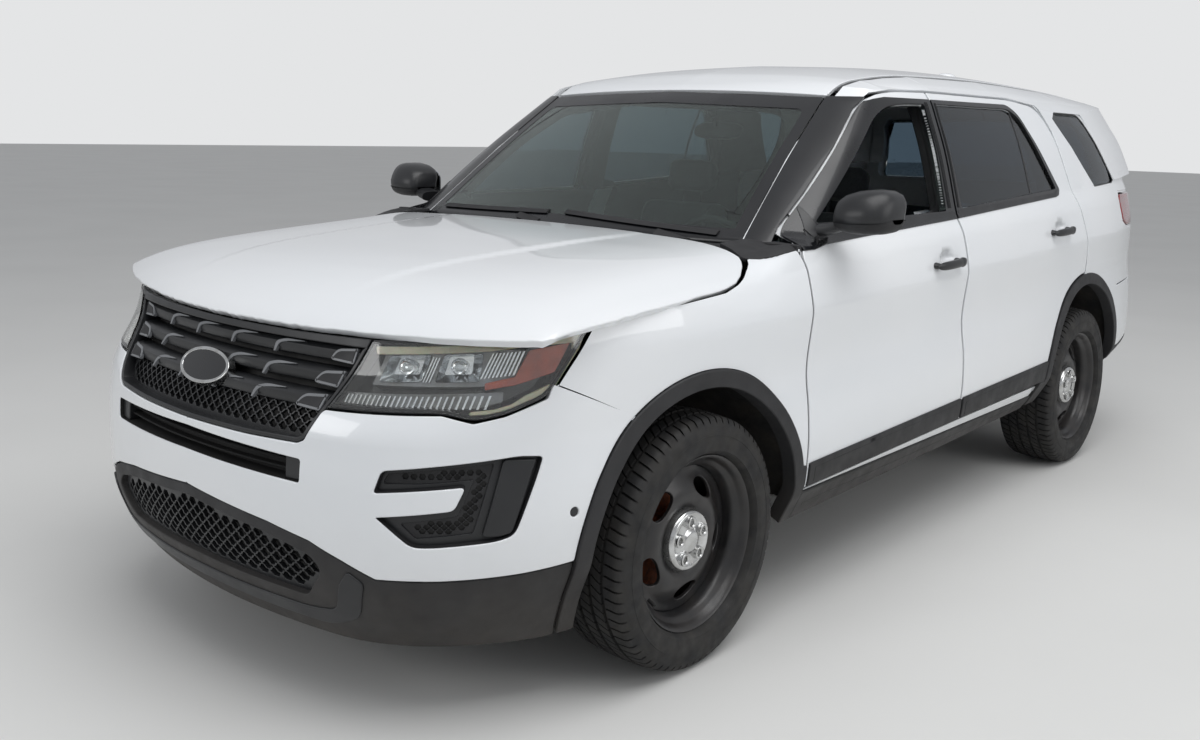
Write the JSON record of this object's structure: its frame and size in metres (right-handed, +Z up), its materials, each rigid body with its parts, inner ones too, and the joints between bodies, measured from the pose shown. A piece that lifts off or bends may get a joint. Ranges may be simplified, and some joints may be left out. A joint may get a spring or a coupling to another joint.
{
  "type": "police patrol car",
  "caption": "Mid-size patrol utility vehicle with hinged doors, hood and liftgate, steered front wheels, free-rolling wheels, black lower cladding and a barred grille.",
  "frame": {"origin": "centre of the footprint, on the ground", "axes": "+Y towards the tail, the nose points to -Y, +X is the car's left, +Z up"},
  "size_m": [2.29, 5.04, 1.7577],
  "materials": {
    "white_paint": "gloss",
    "black_trim": "satin",
    "tinted_glass": "gloss",
    "lamp_clear": "gloss",
    "lamp_red": "gloss",
    "chassis_steel": "matte",
    "engine_metal": "satin",
    "interior_plastic": "matte",
    "seat_cloth": "matte",
    "wheel_steel": "satin",
    "tyre_rubber": "matte"
  },
  "bodies": {
    "body": {"front_fenders": "white_paint", "front_bumper": "white_paint", "roof_panel": "white_paint", "windscreen": "tinted_glass", "quarter_glasses": "tinted_glass", "tail_lamps": "lamp_red", "rear_bumper": "white_paint", "rear_valance": "black_trim", "body_sides": "white_paint", "lower_mouldings": "black_trim", "front_valance": "black_trim", "headlamps": "lamp_clear", "fog_bezels": "black_trim", "grille": "black_trim", "cowl": "black_trim", "wipers": "black_trim", "front_structure": "chassis_steel", "floor": "chassis_steel", "rear_structure": "chassis_steel", "front_axle": "chassis_steel", "rear_axle": "chassis_steel", "engine": "engine_metal", "radiator": "engine_metal", "exhaust": "chassis_steel", "fuel_tank": "chassis_steel", "dashboard": "interior_plastic", "front_seats": "seat_cloth", "rear_seat": "seat_cloth"},
    "front_door_left": {"door_front_left": "white_paint", "trim_front_left": "black_trim"},
    "front_door_right": {"door_front_right": "white_paint", "trim_front_right": "black_trim", "glass_front_right": "tinted_glass"},
    "rear_door_left": {"door_rear_left": "white_paint", "trim_rear_left": "black_trim", "glass_rear_left": "tinted_glass"},
    "rear_door_right": {"door_rear_right": "white_paint", "trim_rear_right": "black_trim", "glass_rear_right": "tinted_glass"},
    "hood": {"hood": "white_paint"},
    "liftgate": {"liftgate": "white_paint", "liftgate_glass": "tinted_glass"},
    "knuckle_left": {"knuckle_left": "chassis_steel"},
    "knuckle_right": {"knuckle_right": "chassis_steel"},
    "steering_wheel": {"steering_wheel": "interior_plastic"},
    "wheel_front_left": {"wheel_front_left": "wheel_steel", "tyre_front_left": "tyre_rubber"},
    "wheel_front_right": {"wheel_front_right": "wheel_steel", "tyre_front_right": "tyre_rubber"},
    "wheel_rear_left": {"wheel_rear_left": "wheel_steel", "tyre_rear_left": "tyre_rubber"},
    "wheel_rear_right": {"wheel_rear_right": "wheel_steel", "tyre_rear_right": "tyre_rubber"}
  },
  "joints": [
    {"name": "steer_left", "type": "hinge", "parent": "body", "child": "knuckle_left", "pos_m": [0.77, -1.5605, 0.225], "axis": [-0.2425, 0, 0.9701], "range_deg": [-34, 34]},
    {"name": "steer_right", "type": "hinge", "parent": "body", "child": "knuckle_right", "pos_m": [-0.77, -1.5605, 0.225], "axis": [0.2425, 0, 0.9701], "range_deg": [-34, 34]},
    {"name": "wheel_turn", "type": "hinge", "parent": "body", "child": "steering_wheel", "pos_m": [0.37, -0.6805, 1], "axis": [0, 0.9063, 0.4226], "range_deg": [-480, 480]},
    {"name": "spin_front_left", "type": "hinge", "parent": "knuckle_left", "child": "wheel_front_left", "pos_m": [0.851, -1.5605, 0.357], "axis": [1, 0, 0], "continuous": true},
    {"name": "spin_front_right", "type": "hinge", "parent": "knuckle_right", "child": "wheel_front_right", "pos_m": [-0.851, -1.5605, 0.357], "axis": [1, 0, 0], "continuous": true},
    {"name": "spin_rear_left", "type": "hinge", "parent": "body", "child": "wheel_rear_left", "pos_m": [0.851, 1.2995, 0.357], "axis": [1, 0, 0], "continuous": true},
    {"name": "spin_rear_right", "type": "hinge", "parent": "body", "child": "wheel_rear_right", "pos_m": [-0.851, 1.2995, 0.357], "axis": [1, 0, 0], "continuous": true},
    {"name": "open_front_door_left", "type": "hinge", "parent": "body", "child": "front_door_left", "pos_m": [0.966, -0.9845, 0.74], "axis": [0, 0, -1], "range_deg": [0, 66]},
    {"name": "open_rear_door_left", "type": "hinge", "parent": "body", "child": "rear_door_left", "pos_m": [0.966, 0.0795, 0.74], "axis": [0, 0, -1], "range_deg": [0, 66]},
    {"name": "open_front_door_right", "type": "hinge", "parent": "body", "child": "front_door_right", "pos_m": [-0.966, -0.9845, 0.74], "axis": [0, 0, 1], "range_deg": [0, 66]},
    {"name": "open_rear_door_right", "type": "hinge", "parent": "body", "child": "rear_door_right", "pos_m": [-0.966, 0.0795, 0.74], "axis": [0, 0, 1], "range_deg": [0, 66]},
    {"name": "open_hood", "type": "hinge", "parent": "body", "child": "hood", "pos_m": [0, -1.2155, 1.118], "axis": [-1, 0, 0], "range_deg": [0, 52]},
    {"name": "open_liftgate", "type": "hinge", "parent": "body", "child": "liftgate", "pos_m": [0, 2.0865, 1.676], "axis": [1, 0, 0], "range_deg": [0, 84]}
  ],
  "couplings": [
    {"joint": "steer_right", "follows": "steer_left", "ratio": 1},
    {"joint": "wheel_turn", "follows": "steer_left", "ratio": 14}
  ]
}
